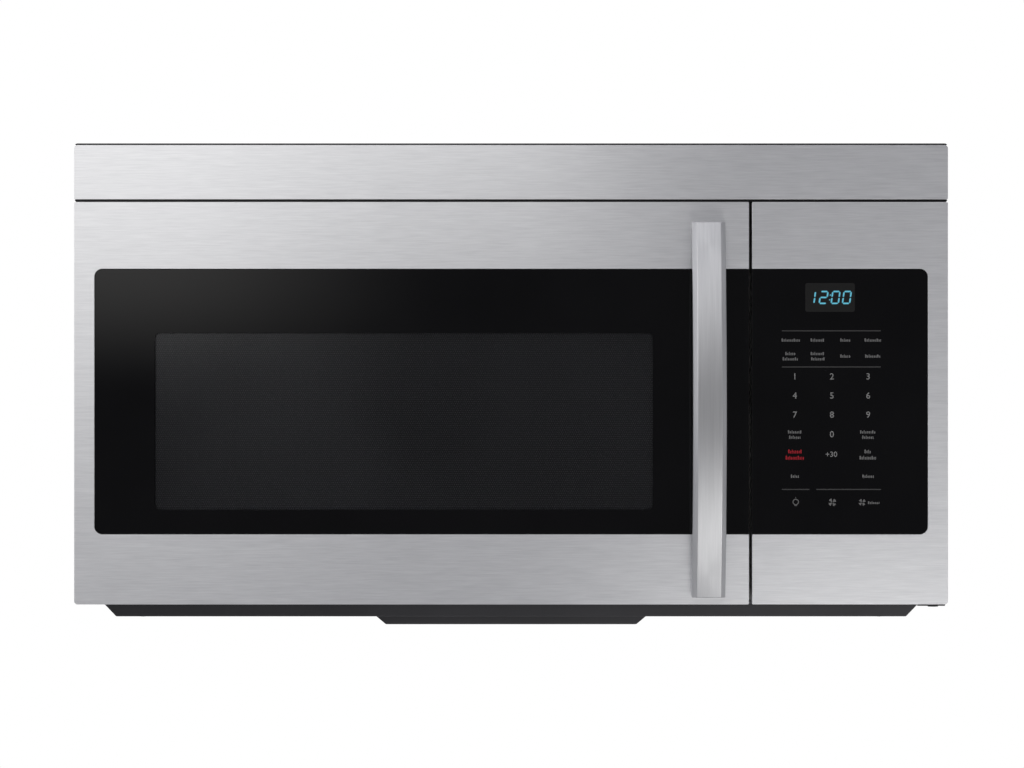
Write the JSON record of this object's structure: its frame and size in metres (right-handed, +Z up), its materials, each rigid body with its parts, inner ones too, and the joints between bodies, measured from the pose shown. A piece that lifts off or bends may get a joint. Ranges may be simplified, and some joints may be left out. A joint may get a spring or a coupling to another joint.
{
  "type": "over-the-range microwave oven",
  "caption": "Wall-hung microwave oven with a built-in cooktop hood: side-hinged glass door with bowed handle, turntable cavity, touch panel, twin blower and grease filters.",
  "frame": {"origin": "middle of the width on the wall face, at the height of the wall mount, 200 mm above the door's bottom edge", "axes": "+X to the right seen from the front, -Y is the way the door faces, +Y into the wall, +Z up"},
  "size_m": [0.759, 0.439, 0.421],
  "materials": {
    "brushed_steel": "fine level brushing",
    "black_paint": "satin black paint",
    "pan_paint": "satin dark grey paint",
    "black_glass": "polished, printed black behind",
    "black_plastic": "fine moulded",
    "zinc_steel": "zinc-coated sheet, satin",
    "cavity_enamel": "smooth grey enamel",
    "clear_glass": "polished",
    "white_plastic": "moulded, satin",
    "aluminium": "satin",
    "copper": "lacquered copper wire over a steel core",
    "circuit_board": "lacquered board",
    "mica": "layered mica sheet, satin",
    "charcoal": "charcoal-filled mat",
    "frosted_lens": "frosted"
  },
  "bodies": {
    "chassis": {"outer_cabinet": "black_paint", "back_plate": "zinc_steel", "exhaust_cover": "zinc_steel", "cord_gland": "black_plastic", "base_plate": "pan_paint", "lamp_lens_left": "frosted_lens", "lamp_lens_right": "frosted_lens", "cooktop_lamp_left": "white_plastic", "cooktop_lamp_right": "white_plastic", "vent_trim": "brushed_steel", "vent_grille": "black_plastic", "charcoal_filter": "charcoal", "oven_cavity": "cavity_enamel", "waveguide_cover": "mica", "cavity_lamp": "zinc_steel", "cavity_thermostat": "white_plastic", "turntable_motor": "zinc_steel", "hinge_lower": "zinc_steel", "hinge_upper": "zinc_steel", "latch_board": "white_plastic", "interlock_switch_lower": "black_plastic", "interlock_switch_upper": "black_plastic", "waveguide": "zinc_steel", "magnetron": "aluminium", "hv_transformer": "copper", "hv_capacitor": "zinc_steel", "noise_filter_board": "circuit_board", "fan_shroud": "black_plastic", "fan_motor": "zinc_steel", "blower_housing": "zinc_steel", "blower_motor": "zinc_steel", "air_duct": "zinc_steel", "control_frame": "brushed_steel", "control_glass": "black_glass", "display_module": "black_plastic", "control_housing": "black_plastic", "control_board": "circuit_board", "panel_screw": "zinc_steel"},
    "door": {"door_frame": "brushed_steel", "door_glass": "black_glass", "door_inner_panel": "black_paint", "window_screen": "black_paint", "inner_window": "clear_glass", "choke_cover": "black_plastic", "latch_spring": "zinc_steel", "handle": "brushed_steel", "handle_screw_lower": "zinc_steel", "handle_screw_upper": "zinc_steel"},
    "latch": {"door_latch": "white_plastic"},
    "turntable": {"drive_coupler": "white_plastic", "glass_tray": "clear_glass"},
    "roller_ring": {"roller_ring": "white_plastic"},
    "wheel_1": {"roller_wheel_1": "white_plastic"},
    "wheel_2": {"roller_wheel_2": "white_plastic"},
    "wheel_3": {"roller_wheel_3": "white_plastic"},
    "blower_rotor": {"blower_wheels": "aluminium"},
    "fan_rotor": {"cooling_fan": "white_plastic"},
    "filter_left": {"grease_filter_left": "aluminium"},
    "filter_right": {"grease_filter_right": "aluminium"}
  },
  "joints": [
    {"name": "door_hinge", "type": "hinge", "parent": "chassis", "child": "door", "pos_m": [-0.3675, -0.3755, 0], "axis": [0, 0, -1], "range_deg": [0, 100]},
    {"name": "latch_slide", "type": "slide", "parent": "door", "child": "latch", "axis": [0, 0, 1], "range_m": [0, 0.004], "stiffness_N_per_m": 300, "springref_m": -0.01, "deforming": ["latch_spring"]},
    {"name": "turntable_spin", "type": "hinge", "parent": "chassis", "child": "turntable", "pos_m": [-0.0931, -0.18, -0.15], "axis": [0, 0, 1], "continuous": true},
    {"name": "ring_spin", "type": "hinge", "parent": "chassis", "child": "roller_ring", "pos_m": [-0.0931, -0.18, -0.15], "axis": [0, 0, 1], "continuous": true},
    {"name": "wheel_1_spin", "type": "hinge", "parent": "roller_ring", "child": "wheel_1", "pos_m": [-0.0931, -0.076, -0.1522], "axis": [0, 1, 0], "continuous": true},
    {"name": "wheel_2_spin", "type": "hinge", "parent": "roller_ring", "child": "wheel_2", "pos_m": [-0.18317, -0.232, -0.1522], "axis": [-0.866, -0.5, 0], "continuous": true},
    {"name": "wheel_3_spin", "type": "hinge", "parent": "roller_ring", "child": "wheel_3", "pos_m": [-0.00303, -0.232, -0.1522], "axis": [0.866, -0.5, 0], "continuous": true},
    {"name": "blower_spin", "type": "hinge", "parent": "chassis", "child": "blower_rotor", "pos_m": [0, -0.072, 0.1488], "axis": [1, 0, 0], "continuous": true},
    {"name": "fan_spin", "type": "hinge", "parent": "chassis", "child": "fan_rotor", "pos_m": [0.2694, -0.045, -0.032], "axis": [0, 1, 0], "continuous": true},
    {"name": "filter_left_slide", "type": "slide", "parent": "chassis", "child": "filter_left", "axis": [1, 0, 0], "range_m": [0, 0.012]},
    {"name": "filter_right_slide", "type": "slide", "parent": "chassis", "child": "filter_right", "axis": [-1, 0, 0], "range_m": [0, 0.012]}
  ],
  "couplings": [
    {"joint": "ring_spin", "follows": "turntable_spin", "ratio": 0.5},
    {"joint": "wheel_1_spin", "follows": "turntable_spin", "ratio": -7.4286},
    {"joint": "wheel_2_spin", "follows": "turntable_spin", "ratio": -7.4286},
    {"joint": "wheel_3_spin", "follows": "turntable_spin", "ratio": -7.4286}
  ]
}
